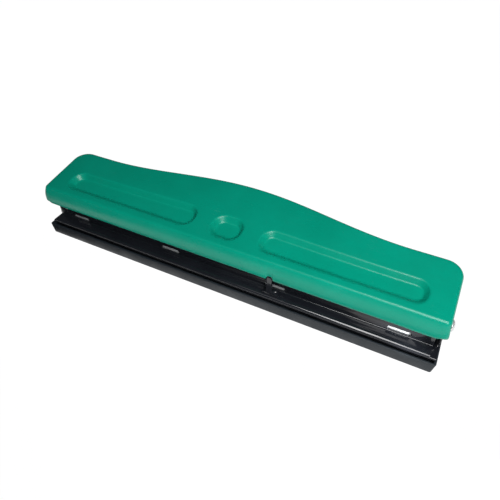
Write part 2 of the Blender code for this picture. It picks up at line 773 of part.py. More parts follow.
def build_pivots():
    """A headed rivet at each end, and the washer between ear and handle."""
    seat = HANDLE_HALF_LENGTH + GAP
    head = 0.0038
    grip = seat - (CHEEK_OUTER_X - CHEEK_JOGGLE - SHEET) + GAP
    profile = rivet_profile(head, PIVOT_RADIUS, grip, 0.0020)
    rivet = turned("pivot_rivet", profile, 20)
    washer_x = CHEEK_OUTER_X - CHEEK_JOGGLE + GAP
    thickness = HANDLE_HALF_LENGTH - SHEET - GAP - washer_x
    outer = arc((0, 0), 0.0041, 0, 342, 19)
    inner = arc((0, 0), PIVOT_RADIUS + GAP, 0, 337.5, 15)
    ring = extruded("pivot_washer", [outer, inner], thickness, along_x())
    for name, side in (("left", -1), ("right", 1)):
        place = (side * seat, PIVOT_Y, PIVOT_Z)
        add_turned(f"pivot_rivet_{name}", rivet, NICKEL, place, (0, side * math.pi / 2, 0))
        middle = side * (washer_x + thickness / 2)
        add_piece(f"pivot_washer_{name}", ring, WHITE_NYLON, (middle, PIVOT_Y, PIVOT_Z))


def add_rivets(name, places, head, shank, head_height, sheets=2, material=NICKEL):
    """Upright rivets, each standing at its place on the uppermost of the sheets that it joins."""
    grip = sheets * SHEET + (sheets + 1) * GAP
    shape = turned(name, rivet_profile(head, shank, grip, head_height), 10)
    for number, place in enumerate(places, 1):
        label = name if len(places) == 1 else f"{name}_{number}"
        add_turned(label, shape, material, place)


def build_rivets():
    flange_top = DIE_TOP_Z + GAP + SHEET + GAP
    channel_places = [(x, CHANNEL_RIVET_Y, flange_top) for x in RIVET_XS]
    add_rivets("channel_rivet", channel_places, 0.0028, 0.0015, 0.0012)
    foot_top = flange_top + SHEET + GAP
    cheek_places = [(side * CHEEK_RIVET_X, CHANNEL_RIVET_Y, foot_top) for side in (-1, 1)]
    add_rivets("cheek_rivet", cheek_places, 0.0028, 0.0015, 0.0012, sheets=3)
    roof_places = []
    for x in hole_places():
        for dx in (-BRACKET_RIVET_DX, BRACKET_RIVET_DX):
            roof_places.append((x + dx, BRACKET_RIVET_Y, ROOF_Z + GAP))
    add_rivets("bracket_rivet", roof_places, 0.0022, 0.0012, 0.0010)
    stop_place = [(*STOP_RIVET_PLACE, JAW_TOP_Z + SHEET + 2 * GAP)]
    add_rivets("stop_rivet", stop_place, 0.0020, 0.0012, 0.0009, material=BLACK_PAINT)


build_chip_tray()
build_die_plate()
build_channel()
build_end_cheek("end_cheek_left", -1)
build_end_cheek("end_cheek_right", 1)
build_handle_stop()
build_punch_units()
build_handle()
build_pivots()
build_rivets()
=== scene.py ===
"""Looks of a four-hole desk punch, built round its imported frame.

Metres, +Z up. +X runs along the punch and +Y away from the paper side. Places come from the frame's boxes
and joints, and the lengths below are the sheet's own thickness, bends and pressings. Each visible piece
stands for one CAD node and moves with that node's body.
"""

import json
import math

import bmesh
import bpy
from mathutils import Matrix, Vector


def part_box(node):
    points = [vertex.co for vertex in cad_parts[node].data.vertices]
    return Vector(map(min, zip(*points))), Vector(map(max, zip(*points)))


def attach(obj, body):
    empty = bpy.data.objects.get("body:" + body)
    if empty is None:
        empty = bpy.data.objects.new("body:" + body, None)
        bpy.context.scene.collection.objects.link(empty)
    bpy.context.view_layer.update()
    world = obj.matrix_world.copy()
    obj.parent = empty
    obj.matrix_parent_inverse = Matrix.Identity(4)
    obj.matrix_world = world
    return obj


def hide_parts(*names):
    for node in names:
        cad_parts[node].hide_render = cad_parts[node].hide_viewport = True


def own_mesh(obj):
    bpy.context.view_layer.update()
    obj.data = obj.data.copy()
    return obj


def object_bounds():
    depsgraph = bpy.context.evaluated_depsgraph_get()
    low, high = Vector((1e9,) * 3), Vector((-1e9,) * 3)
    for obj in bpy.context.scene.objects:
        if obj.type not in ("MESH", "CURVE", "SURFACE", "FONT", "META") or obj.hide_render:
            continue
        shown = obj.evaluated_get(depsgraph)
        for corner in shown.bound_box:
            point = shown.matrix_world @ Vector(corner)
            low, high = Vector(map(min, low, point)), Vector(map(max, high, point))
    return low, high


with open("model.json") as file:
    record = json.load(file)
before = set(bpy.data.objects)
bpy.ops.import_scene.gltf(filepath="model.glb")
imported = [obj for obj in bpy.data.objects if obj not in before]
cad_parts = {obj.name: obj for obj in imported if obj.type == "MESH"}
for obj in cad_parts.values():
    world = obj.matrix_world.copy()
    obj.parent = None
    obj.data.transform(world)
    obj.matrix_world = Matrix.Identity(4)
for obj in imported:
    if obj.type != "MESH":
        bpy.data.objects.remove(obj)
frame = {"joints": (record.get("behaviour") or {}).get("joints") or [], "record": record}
CAD_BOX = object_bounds()
BODIES = {
    node: body
    for body, nodes in frame["record"]["behaviour"]["bodies"].items()
    for node in nodes
}
HINGES = {joint["name"]: joint for joint in frame["joints"]}

# Sheet and moulding.
SHEET = 0.0012
EDGE = 0.00022
FINE_EDGE = 0.00015
HANDLE_EDGE = 0.0003
GAP = 0.0003
BEND = 0.0010
CHANNEL_BEND = 0.0012
DIE_PLATE_BEND = 0.0008
BEND_STEPS = 7
SHEET_RIVET_HOLE = 0.0018
SMALL_RIVET_HOLE = 0.0015
PIVOT_HOLE = 0.0027
PIVOT_SHANK = 0.0024

TRAY_WALL = 0.0014
TRAY_CORNER = 0.0012
TRAY_END_DRAFT = 0.0012
TRAY_SIDE_DRAFT = 0.0002

# Hat section of the channel.
JAW_BOTTOM_ABOVE_PLATE = 0.0015
JAW_THICKNESS = 0.0019
WALL_BEHIND_JAW = 0.0082
PAPER_STOP_BEFORE_REAR = 0.0092
WINDOW_WIDTH = 0.0142
WINDOW_HEIGHT = 0.0034
WINDOW_ABOVE_JAW = 0.0021
WINDOW_CORNER = 0.0010

# Handle, in its own frame: x along it, v over its panel from the pivot, w square to the panel.
TILT = math.radians(8.44)
HALF_LENGTH = 0.1440
PANEL_TOP = 0.0088
PANEL_FRONT = -0.0061
PANEL_REAR = 0.0393
REAR_BULGE = 0.0125
REAR_BULGE_HALF_WIDTH = 0.115
RIM_BEND = 0.0025
FRONT_CORNER = 0.0030
REAR_CORNER = 0.0110
LIP_DROP = 0.01207
LIP_FLARE = 0.332
LIP_CROWN = 0.24
LIP_END_RADIUS = 0.0065
RIM_DROP = 0.0060
EAR_DROP = 0.0078
EAR_SPREAD = 0.0070
NOTCH_X = 0.0385
NOTCH_RADIUS = 0.0024
RECESS_NEAR = 0.0050
RECESS_FAR = 0.0250
RECESS_FAR_BULGE = 0.0020
RECESS_CORNER = 0.0090
RECESS_DEPTH = 0.0038
RECESS_ROUND = 0.0021
RECESS_SLOPE = math.radians(52)
NEAR_WALL_STRETCH = 0.5
RECESS_SPANS = ((-0.130, -0.023), (-0.012, 0.012), (0.023, 0.130))

# Punch units.
PIN_RADIUS = 0.003
GROOVE_DEPTH = 0.0006
CLIP_THICKNESS = 0.0006
HEAD_THICKNESS = 0.0020
SPRING_TURNS = 6.5
SPRING_RADIUS = 0.0042
SPRING_WIRE = 0.0004

# Half the width of the floor, and the radius of the wall round it.
ROOM = 4.0

PIVOT = Vector(HINGES["handle_press"]["pos_m"])
FRONT_Y = CAD_BOX[0].y
PINS = [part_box(f"punch_pin_{number}") for number in (1, 2, 3, 4)]
PIN_XS = [(low.x + high.x) / 2 for low, high in PINS]
PIN_Y = (PINS[0][0].y + PINS[0][1].y) / 2
PLATE_LOW, PLATE_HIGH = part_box("die_plate")
CHANNEL_LOW, CHANNEL_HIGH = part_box("channel")
JAW_BOTTOM_Z = PLATE_HIGH.z + JAW_BOTTOM_ABOVE_PLATE
JAW_TOP_Z = JAW_BOTTOM_Z + JAW_THICKNESS
WALL_Y = CHANNEL_LOW.y + WALL_BEHIND_JAW
WINDOW_Z = JAW_TOP_Z + WINDOW_ABOVE_JAW
PAPER_STOP_Y = CHANNEL_HIGH.y - PAPER_STOP_BEFORE_REAR


# ---------------------------------------------------------------- materials


class Finish:
    """A Principled material whose detail is noise in its piece's own coordinates."""

    def __init__(self, name, **values):
        self.material = bpy.data.materials.new(name)
        self.material.use_nodes = True
        self.tree = self.material.node_tree
        self.shader = self.tree.nodes["Principled BSDF"]
        self.place = self.add("TexCoord").outputs["Object"]
        for label, value in values.items():
            self.shader.inputs[label.replace("_", " ").title()].default_value = value

    def add(self, kind, **settings):
        node = self.tree.nodes.new(f"ShaderNode{kind}")
        for name, value in settings.items():
            setattr(node, name, value)
        return node

    def feed(self, socket, value):
        if isinstance(value, bpy.types.NodeSocket):
            self.tree.links.new(value, socket)
        else:
            socket.default_value = value

    def noise(self, size, detail=3.0, stretch=(1, 1, 1)):
        """Values round 0.5, with features about size metres across, longer along a smaller stretch."""
        mapping = self.add("Mapping")
        self.feed(mapping.inputs["Vector"], self.place)
        self.feed(mapping.inputs["Scale"], stretch)
        node = self.add("TexNoise")
        self.feed(node.inputs["Vector"], mapping.outputs["Vector"])
        self.feed(node.inputs["Scale"], 1 / size)
        self.feed(node.inputs["Detail"], detail)
        return node.outputs["Fac"]

    def specks(self, spacing, share):
        """1 inside small round spots, one to a cell of the spacing, each as wide as that share of it."""
        node = self.add("TexVoronoi")
        self.feed(node.inputs["Vector"], self.place)
        self.feed(node.inputs["Scale"], 1 / spacing)
        return self.ranged(node.outputs["Distance"], share, share * 0.6, 0.0, 1.0)

    def ranged(self, value, low, high, to_low, to_high):
        """The value's stretch from low to high, spread over the new range and held at its ends."""
        node = self.add("MapRange", clamp=True)
        numbers = (value, low, high, to_low, to_high)
        for label, number in zip(("Value", "From Min", "From Max", "To Min", "To Max"), numbers):
            self.feed(node.inputs[label], number)
        return node.outputs["Result"]

    def combined(self, operation, first, second):
        node = self.add("Math", operation=operation)
        self.feed(node.inputs[0], first)
        self.feed(node.inputs[1], second)
        return node.outputs["Value"]

    def mixed(self, factor, first, second):
        node = self.add("Mix", data_type="RGBA")
        self.feed(node.inputs["Factor"], factor)
        self.feed(node.inputs[6], first if isinstance(first, bpy.types.NodeSocket) else (*first, 1.0))
        self.feed(node.inputs[7], second if isinstance(second, bpy.types.NodeSocket) else (*second, 1.0))
        return node.outputs[2]

    def set(self, label, value):
        self.feed(self.shader.inputs[label], value)

    def bump(self, height, distance, before=None):
        """Raises the surface by up to the distance, in metres, on top of an earlier bump."""
        node = self.add("Bump")
        self.feed(node.inputs["Strength"], 1.0)
        self.feed(node.inputs["Distance"], distance)
        self.feed(node.inputs["Height"], height)
        if before:
            self.feed(node.inputs["Normal"], before)
        self.feed(self.shader.inputs["Normal"], node.outputs["Normal"])
        return node.outputs["Normal"]


def scratches(finish, size, stretch):
    """Thin, broken hairlines."""
    lines = finish.noise(size, 2.0, stretch)
    patches = finish.ranged(finish.noise(0.02), 0.52, 0.66, 0.0, 1.0)
    off_middle = finish.combined("ABSOLUTE", finish.combined("SUBTRACT", lines, 0.5), 0)
    hair = finish.ranged(off_middle, 0.006, 0.0, 0.0, 1.0)
    return finish.combined("MULTIPLY", hair, patches)


def green_enamel():
    """Stoved enamel of soft gloss: slight clouding, orange peel, wiped haze, hairlines and a little dust."""
    finish = Finish("green_enamel", coat_weight=0.06, coat_roughness=0.15)
    finish.set("Specular IOR Level", 0.32)
    clouds = finish.ranged(finish.noise(0.045, 3.0), 0.35, 0.65, 0.0, 1.0)
    fine = finish.ranged(finish.noise(0.004, 4.0), 0.35, 0.65, 0.0, 1.0)
    color = finish.mixed(clouds, (0.0, 0.285, 0.186), (0.0, 0.320, 0.212))
    color = finish.mixed(finish.combined("MULTIPLY", fine, 0.16), color, (0.002, 0.250, 0.165))
    hair = scratches(finish, 0.0016, (0.06, 1.0, 1.0))
    color = finish.mixed(finish.combined("MULTIPLY", hair, 0.20), color, (0.10, 0.42, 0.34))
    dust = finish.combined("MULTIPLY", finish.specks(0.0034, 0.035), 0.35)
    finish.set("Base Color", finish.mixed(dust, color, (0.30, 0.45, 0.40)))
    haze = finish.ranged(finish.noise(0.016, 4.0, (0.5, 1.0, 1.0)), 0.35, 0.70, 0.26, 0.36)
    finish.set("Roughness", finish.combined("ADD", haze, finish.combined("MULTIPLY", hair, 0.12)))
    peel = finish.bump(finish.noise(0.0015, 1.0), 0.000035)
    finish.bump(hair, -0.00001, peel)
    return finish.material


def black_enamel():
    """Gloss black enamel with orange peel, faint smears and specks of paper dust."""
    finish = Finish("black_enamel", coat_weight=0.50, coat_roughness=0.06)
    clouds = finish.ranged(finish.noise(0.03, 4.0), 0.35, 0.65, 0.0, 1.0)
    color = finish.mixed(clouds, (0.0075, 0.0085, 0.0115), (0.0110, 0.0125, 0.0165))
    dusty = finish.ranged(finish.noise(0.012), 0.45, 0.7, 0.0, 0.45)
    dust = finish.combined("MULTIPLY", finish.specks(0.0030, 0.05), dusty)
    hair = scratches(finish, 0.0014, (0.05, 1.0, 1.0))
    color = finish.mixed(finish.combined("MULTIPLY", hair, 0.35), color, (0.07, 0.075, 0.085))
    finish.set("Base Color", finish.mixed(dust, color, (0.20, 0.20, 0.19)))
    smears = finish.ranged(finish.noise(0.010, 5.0, (0.3, 1.0, 1.0)), 0.40, 0.72, 0.13, 0.27)
    finish.set("Roughness", finish.combined("ADD", smears, finish.combined("MULTIPLY", dust, 0.5)))
    peel = finish.bump(finish.noise(0.0018, 1.0), 0.00003)
    finish.bump(hair, -0.00001, peel)
    return finish.material


def tray_plastic():
    """Moulded polystyrene: fine spark-eroded grain whose pits are darkened with painted shade, flow marks and
    rubbed patches.
    """
    finish = Finish("tray_moulding")
    flow = finish.ranged(finish.noise(0.035, 3.0, (0.3, 1.0, 1.0)), 0.35, 0.65, 0.0, 1.0)
    grain = finish.noise(0.0005, 2.0)
    color = finish.mixed(flow, (0.008, 0.013, 0.018), (0.013, 0.019, 0.025))
    # Painted shade: the grain's low spots, which the bump below sinks, are coloured darker.
    pits = finish.ranged(grain, 0.45, 0.25, 0.0, 0.35)
    finish.set("Base Color", finish.mixed(pits, color, (0.005, 0.008, 0.011)))
    rubbed = finish.ranged(finish.noise(0.012, 4.0), 0.40, 0.70, 0.58, 0.46)
    finish.set("Roughness", rubbed)
    finish.bump(grain, 0.00003)
    return finish.material


def nickel_plate():
    """Barrel-plated steel: cloudy lustre, fine tumbling marks and pin-prick pits."""
    finish = Finish("nickel_plate", metallic=0.75)
    clouds = finish.ranged(finish.noise(0.006, 4.0), 0.35, 0.65, 0.0, 1.0)
    color = finish.mixed(clouds, (0.70, 0.71, 0.72), (0.82, 0.82, 0.81))
    pits = finish.combined("MULTIPLY", finish.specks(0.0013, 0.06), 0.5)
    finish.set("Base Color", finish.mixed(pits, color, (0.35, 0.33, 0.30)))
    finish.set("Roughness", finish.ranged(finish.noise(0.002, 4.0), 0.35, 0.65, 0.24, 0.36))
    marks = finish.bump(finish.noise(0.0007, 3.0, (1.0, 0.25, 1.0)), 0.000012)
    finish.bump(pits, -0.00002, marks)
    return finish.material


def dull_zinc():
    """Pale passivated zinc: matt and cloudy, with grey handling marks."""
    finish = Finish("dull_zinc", metallic=0.25)
    clouds = finish.ranged(finish.noise(0.005, 4.0), 0.35, 0.65, 0.0, 1.0)
    color = finish.mixed(clouds, (0.52, 0.55, 0.57), (0.62, 0.64, 0.65))
    marks = finish.ranged(finish.noise(0.0016, 3.0), 0.60, 0.75, 0.0, 0.4)
    finish.set("Base Color", finish.mixed(marks, color, (0.36, 0.38, 0.40)))
    finish.set("Roughness", finish.ranged(clouds, 0.0, 1.0, 0.42, 0.55))
    finish.bump(finish.noise(0.0006, 3.0), 0.000015)
    return finish.material


def tool_steel():
    """Ground pin: rings left by the wheel, with a trace of oil."""
    finish = Finish("ground_tool_steel", metallic=1.0)
    rings = finish.noise(0.00022, 2.0, (0.04, 0.04, 1.0))
    oil = finish.ranged(finish.noise(0.004, 3.0), 0.40, 0.65, 0.0, 1.0)
    color = finish.mixed(rings, (0.42, 0.42, 0.43), (0.60, 0.60, 0.61))
    finish.set("Base Color", finish.mixed(finish.combined("MULTIPLY", oil, 0.4), color, (0.40, 0.36, 0.30)))
    finish.set("Roughness", finish.ranged(oil, 0.0, 1.0, 0.34, 0.20))
    finish.bump(rings, 0.000012)
    return finish.material


def spring_steel():
    """Drawn, tempered wire: warm grey with fine streaks."""
    finish = Finish("spring_wire", metallic=1.0)
    streaks = finish.noise(0.0005, 3.0, (0.5, 0.5, 1.0))
    color = finish.mixed(streaks, (0.46, 0.44, 0.41), (0.68, 0.67, 0.64))
    finish.set("Base Color", color)
    finish.set("Roughness", finish.ranged(streaks, 0.3, 0.7, 0.24, 0.38))
    finish.bump(streaks, 0.000008)
    return finish.material


def white_nylon():
    """Natural nylon, slightly uneven and waxy."""
    finish = Finish("natural_nylon", subsurface_weight=0.15, subsurface_scale=0.002)
    clouds = finish.noise(0.002, 3.0)
    finish.set("Base Color", finish.mixed(clouds, (0.74, 0.72, 0.66), (0.84, 0.83, 0.79)))
    finish.set("Roughness", finish.ranged(clouds, 0.3, 0.7, 0.42, 0.55))
    finish.bump(finish.noise(0.0004, 2.0), 0.00001)
    return finish.material


FINISHES = {
    "green_paint": green_enamel(),
    "black_paint": black_enamel(),
    "tray_plastic": tray_plastic(),
    "bright_plate": nickel_plate(),
    "dull_zinc": dull_zinc(),
    "tool_steel": tool_steel(),
    "spring_steel": spring_steel(),
    "white_nylon": white_nylon(),
}


# ---------------------------------------------------------------- mesh tools


def scene_object(name, data):
    obj = bpy.data.objects.new(name, data)
    bpy.context.scene.collection.objects.link(obj)
    return obj


def mesh_from(bm, name):
    mesh = bpy.data.meshes.new(name)
    bmesh.ops.recalc_face_normals(bm, faces=bm.faces)
    bm.to_mesh(mesh)
    bm.free()
    return mesh


def apply_modifiers(obj):
    """Gives the piece its evaluated mesh, so that what it shows is its own geometry."""
    bpy.context.view_layer.update()
    evaluated = obj.evaluated_get(bpy.context.evaluated_depsgraph_get())
    mesh = bpy.data.meshes.new_from_object(evaluated)
    obj.modifiers.clear()
    obj.data = mesh


def carve(obj, tool, operation="DIFFERENCE"):
    """Applies one Boolean with a closed mesh."""
    cutter = scene_object("cutter", tool)
    modifier = obj.modifiers.new("carve", "BOOLEAN")
    modifier.operation = operation
    modifier.object = cutter
    modifier.solver = "EXACT"
    apply_modifiers(obj)
    bpy.data.objects.remove(cutter)


def round_edges(obj, width=EDGE):
    modifier = obj.modifiers.new("edges", "BEVEL")
    modifier.width = width
    modifier.segments = 2
    modifier.limit_method = "ANGLE"
    modifier.angle_limit = math.radians(40)
    apply_modifiers(obj)


def install(obj, node, slot, sharp=40, finish=None):
    """Dresses the piece, stands it for its CAD node and lets it ride on that node's body.

    Its finish is the one of its slot unless another is named.
    """
    obj.data.materials.clear()
    obj.data.materials.append(FINISHES[finish or slot])
    obj.data.shade_smooth()
    obj.data.set_sharp_from_angle(angle=math.radians(sharp))
    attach(obj, BODIES[node])
    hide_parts(node)


def middle(node):
    low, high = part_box(node)
    return (low + high) / 2


def fillet(points, radius, steps=BEND_STEPS):
    """The open line of points with each inner corner replaced by an arc."""
    line = [Vector(points[0])]
    for before, corner, after in zip(points, points[1:], points[2:]):
        corner = Vector(corner)
        back = (Vector(before) - corner).normalized()
        on = (Vector(after) - corner).normalized()
        half_angle = back.angle(on) / 2
        centre = corner + (back + on).normalized() * (radius / math.sin(half_angle))
        first = corner + back * (radius / math.tan(half_angle)) - centre
        last = corner + on * (radius / math.tan(half_angle)) - centre
        for step in range(steps + 1):
            line.append(centre + first.slerp(last, step / steps, first) * radius)
    line.append(Vector(points[-1]))
    return line


def sheet_outline(path, bend=BEND):
    """Closed outline of folded sheet whose middle line is the path."""
    line = fillet(path, bend)
    left = []
    right = []
    for index, point in enumerate(line):
        along = (line[min(index + 1, len(line) - 1)] - line[max(index - 1, 0)]).normalized()
        side = Vector((-along.y, along.x)) * SHEET / 2
        left.append(point + side)
        right.append(point - side)
    return left + right[::-1]


def arc(centre, radius, start, end, steps):
    """Points on an arc, with its angles in degrees."""
    angles = [math.radians(start + (end - start) * step / steps) for step in range(steps + 1)]
    return [Vector((centre[0] + radius * math.cos(a), centre[1] + radius * math.sin(a))) for a in angles]


def extruded(outline, thickness, place):
    """Closed mesh of a flat outline, extruded evenly to both sides and put in place by a matrix."""
    bm = bmesh.new()
    loops = []
    for side in (-1, 1):
        loops.append([bm.verts.new((point[0], point[1], side * thickness / 2)) for point in outline])
    bm.faces.new(loops[0][::-1])
    bm.faces.new(loops[1])
    add_band(bm, loops[1], loops[0])
    bmesh.ops.transform(bm, matrix=place, verts=bm.verts)
    return mesh_from(bm, "extruded")


def add_band(bm, upper, lower):
    """Quads between two rings of the same number of points."""
    for index in range(len(upper)):
        beyond = (index + 1) % len(upper)
        bm.faces.new((upper[index], lower[index], lower[beyond], upper[beyond]))


def add_rings(bm, rings):
    """Joins each ring to the next and returns the vertices of the first and the last."""
    made = [[bm.verts.new(point) for point in ring] for ring in rings]
    for upper, lower in zip(made, made[1:]):
        add_band(bm, upper, lower)
    return made[0], made[-1]


def along_x(x=0.0):
    """Puts an outline drawn in (y, z) square to the X axis, at x."""
    return Matrix(((0, 0, 1, x), (1, 0, 0, 0), (0, 1, 0, 0), (0, 0, 0, 1)))


def facing_front(y=0.0):
    """Puts an outline drawn in (x, z) square to the Y axis, at y."""
    return Matrix(((1, 0, 0, 0), (0, 0, 1, y), (0, 1, 0, 0), (0, 0, 0, 1)))


def box_mesh(low, high):
    """Closed box between two opposite corners."""
    bm = bmesh.new()
    low, high = Vector(low), Vector(high)
    size = Matrix.Diagonal((*(high - low), 1))
    bmesh.ops.create_cube(bm, size=1, matrix=Matrix.Translation((low + high) / 2) @ size)
    return mesh_from(bm, "box")


def rods_mesh(rods):
    """Round cutters, each (radius, start, end)."""
    bm = bmesh.new()
    for radius, start, end in rods:
        start, end = Vector(start), Vector(end)
        turn = (end - start).to_track_quat("Z", "Y").to_matrix().to_4x4()
        place = Matrix.Translation((start + end) / 2) @ turn
        depth = (end - start).length
        bmesh.ops.create_cone(
            bm, cap_ends=True, segments=48, radius1=radius, radius2=radius, depth=depth, matrix=place
        )
    return mesh_from(bm, "rods")


def turned_mesh(profile, steps=48):
    """Closed solid of revolution about Z. The profile starts and ends on the axis."""
    bm = bmesh.new()
    rings = []
    for radius, height in profile[1:-1]:
        angles = [math.tau * step / steps for step in range(steps)]
        rings.append([(radius * math.cos(a), radius * math.sin(a), height) for a in angles])
    first, last = add_rings(bm, rings)
    for ring, tip in ((first, profile[0]), (last, profile[-1])):
        centre = bm.verts.new((0, 0, tip[1]))
        for index, vert in enumerate(ring):
            bm.faces.new((vert, ring[(index + 1) % steps], centre))
    return mesh_from(bm, "turned")


# ---------------------------------------------------------------- base


def rounded_rectangle(half_x, y_low, y_high, radius, height):
    """Ring with round corners, counter-clockwise at one height."""
    ring = []
    corners = (
        (half_x - radius, y_low + radius, -90),
        (half_x - radius, y_high - radius, 0),
        (-half_x + radius, y_high - radius, 90),
        (-half_x + radius, y_low + radius, 180),
    )
    for x, y, start in corners:
        ring += [(point.x, point.y, height) for point in arc((x, y), radius, start, start + 90, 8)]
    return ring


def build_tray():
    """Moulded tub with drafted walls, rounded outer edges and a filleted floor."""
    low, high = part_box("chip_tray")
    half, height = high.x, high.z
    foot = 0.0008
    brim = 0.0003
    inner_foot = 0.0010
    profile = [(0.0020, 0.0)]
    for step in range(5):
        angle = math.radians(90 * step / 4)
        profile.append((foot * (1 - math.sin(angle)), foot * (1 - math.cos(angle))))
    profile.append((0.0, height - brim - 0.0002))
    for step in range(4):
        angle = math.radians(90 * step / 3)
        profile.append((brim * (1 - math.cos(angle)), height - brim * (1 - math.sin(angle))))
    for step in range(4):
        angle = math.radians(90 * step / 3)
        profile.append((TRAY_WALL - brim * (1 - math.sin(angle)), height - brim * (1 - math.cos(angle))))
    for step in range(5):
        angle = math.radians(90 * step / 4)
        inset = TRAY_WALL + inner_foot * (1 - math.cos(angle))
        profile.append((inset, TRAY_WALL + inner_foot * (1 - math.sin(angle))))
    rings = []
    for inset, z in profile:
        lean = 1 - z / height
        side = inset + TRAY_SIDE_DRAFT * lean
        rings.append(
            rounded_rectangle(
                half - inset - TRAY_END_DRAFT * lean,
                low.y + side,
                high.y - side,
                max(TRAY_CORNER - inset * 0.7, 0.0006),
                z,
            )
        )
    bm = bmesh.new()
    first, last = add_rings(bm, rings)
    bm.faces.new(first[::-1])
    bm.faces.new(last)
    tray = scene_object("chip_tray_moulding", mesh_from(bm, "chip_tray_moulding"))
    install(tray, "chip_tray", "tray_plastic", sharp=50)


def sheet_rivet_places():
    """Middles of the rivets through channel, cheeks and die plate."""
    nodes = [f"channel_rivet_{number}" for number in range(1, 6)] + ["cheek_rivet_1", "cheek_rivet_2"]
    return [middle(node) for node in nodes]


def build_die_plate():
    """Lower jaw: a plate with a die hole under each pin and a flange turned down along each edge."""
    half = SHEET / 2
    front, rear = PLATE_LOW.y + half, PLATE_HIGH.y - half
    top = PLATE_HIGH.z - half
    path = [(front, PLATE_LOW.z), (front, top), (rear, top), (rear, PLATE_LOW.z)]
    section = sheet_outline(path, DIE_PLATE_BEND)
    plate = scene_object("lower_jaw", extruded(section, 2 * PLATE_HIGH.x, along_x()))
    for side in (-1, 1):
        inner_x, outer_x = sorted((side * (PLATE_HIGH.x - 0.0025), side * (PLATE_HIGH.x + 0.001)))
        low = (inner_x, PLATE_LOW.y - 0.002, PLATE_LOW.z - 0.001)
        carve(plate, box_mesh(low, (outer_x, PLATE_HIGH.y + 0.002, PLATE_HIGH.z - SHEET)))
    rods = [(PIN_RADIUS + GAP / 2, (x, PIN_Y, 0.004), (x, PIN_Y, 0.014)) for x in PIN_XS]
    for place in sheet_rivet_places():
        rods.append((SHEET_RIVET_HOLE, (place.x, place.y, 0.004), (place.x, place.y, 0.014)))
    carve(plate, rods_mesh(rods))
    round_edges(plate)
    install(plate, "die_plate", "black_paint")


def build_channel():
    """Hat section: upper jaw with a turned-down lip, windowed wall, roof, paper stop and rear flange."""
    half = SHEET / 2
    roof = CHANNEL_HIGH.z - half
    flange = CHANNEL_LOW.z + half
    section = sheet_outline(
        [
            (CHANNEL_LOW.y + half, JAW_BOTTOM_Z),
            (CHANNEL_LOW.y + half, JAW_TOP_Z - half),
            (WALL_Y + half, JAW_TOP_Z - half),
            (WALL_Y + half, roof),
            (PAPER_STOP_Y + half, roof),
            (PAPER_STOP_Y + half, flange),
            (CHANNEL_HIGH.y, flange),
        ],
        CHANNEL_BEND,
    )
    channel = scene_object("channel_bar", extruded(section, 2 * CHANNEL_HIGH.x, along_x()))
    high = CHANNEL_HIGH.z
    rods = [(PIN_RADIUS + 2 * GAP, (x, PIN_Y, high - 0.004), (x, PIN_Y, high + 0.004)) for x in PIN_XS]
    for number in range(1, 9):
        place = middle(f"bracket_rivet_{number}")
        rods.append((SMALL_RIVET_HOLE, (place.x, place.y, high - 0.004), (place.x, place.y, high + 0.004)))
    for place in sheet_rivet_places():
        rods.append((SHEET_RIVET_HOLE, (place.x, place.y, 0.004), (place.x, place.y, 0.016)))
    place = middle("stop_rivet")
    rods.append((SMALL_RIVET_HOLE, (place.x, place.y, 0.004), (place.x, place.y, 0.018)))
    carve(channel, rods_mesh(rods))
    for x in PIN_XS:
        outline = []
        right = WINDOW_WIDTH / 2 - WINDOW_CORNER
        top = WINDOW_HEIGHT / 2 - WINDOW_CORNER
        for quarter, (side, level) in enumerate(((1, 1), (-1, 1), (-1, -1), (1, -1))):
            centre = (x + side * right, WINDOW_Z + level * top)
            outline += arc(centre, WINDOW_CORNER, 90 * quarter, 90 * quarter + 90, 6)
        carve(channel, extruded(outline, 0.004, facing_front(WALL_Y + half)))
    round_edges(channel)
    install(channel, "channel", "black_paint")


def build_end_cheek(name, side):
    """End plate of the channel. Its upper part is set inward and ends in the ear that carries the handle."""
    low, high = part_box(name)
    front, rear = CHANNEL_LOW.y, high.y
    half = SHEET / 2
    joggle = 0.0022
    step_low = 0.0190
    ear_radius = 0.0058
    nick = 0.0004
    outer = max(abs(low.x), abs(high.x)) - half
    foot_z = CHANNEL_LOW.z + SHEET + GAP + half
    path = [
        (0.1310, foot_z),
        (outer, foot_z),
        (outer, step_low),
        (outer - joggle, step_low + joggle),
        (outer - joggle, 0.0395),
    ]
    strip = [(side * x, z) for x, z in sheet_outline(path)]
    cheek = scene_object(f"{name}_plate", extruded(strip, rear - front, facing_front((front + rear) / 2)))
    outline = fillet(
        [
            (FRONT_Y + 0.0102, JAW_BOTTOM_Z),
            (PAPER_STOP_Y, JAW_BOTTOM_Z),
            (PAPER_STOP_Y, PLATE_HIGH.z),
            (rear, PLATE_HIGH.z),
            (rear, step_low),
            (rear - 0.0030, 0.0222),
            (PAPER_STOP_Y - 0.0020, 0.0245),
        ],
        nick,
        4,
    )
    outline += arc((PIVOT.y, PIVOT.z), ear_radius, 58, 190, 24)
    outline += fillet(
        [
            (FRONT_Y + 0.0072, 0.0255),
            (FRONT_Y + 0.0096, 0.0210),
            (FRONT_Y + 0.0128, 0.0166),
            (FRONT_Y + 0.0123, 0.0130),
            (FRONT_Y + 0.0112, 0.0118),
        ],
        nick,
        4,
    )
    carve(cheek, extruded(outline, 0.020, along_x(side * 0.138)), "INTERSECT")
    edges = sorted((side * 0.125, side * (outer - half)))
    relief_low = (edges[0], front - 0.002, PLATE_HIGH.z - 0.002)
    carve(cheek, box_mesh(relief_low, (edges[1], PAPER_STOP_Y + SHEET + GAP, JAW_TOP_Z + 0.0012)))
    rivet = middle("cheek_rivet_1" if side < 0 else "cheek_rivet_2")
    rods = [
        (PIVOT_HOLE, (side * 0.136, PIVOT.y, PIVOT.z), (side * 0.146, PIVOT.y, PIVOT.z)),
        (SHEET_RIVET_HOLE, (rivet.x, rivet.y, 0.006), (rivet.x, rivet.y, 0.016)),
    ]
    carve(cheek, rods_mesh(rods))
    round_edges(cheek)
    install(cheek, name, "black_paint")


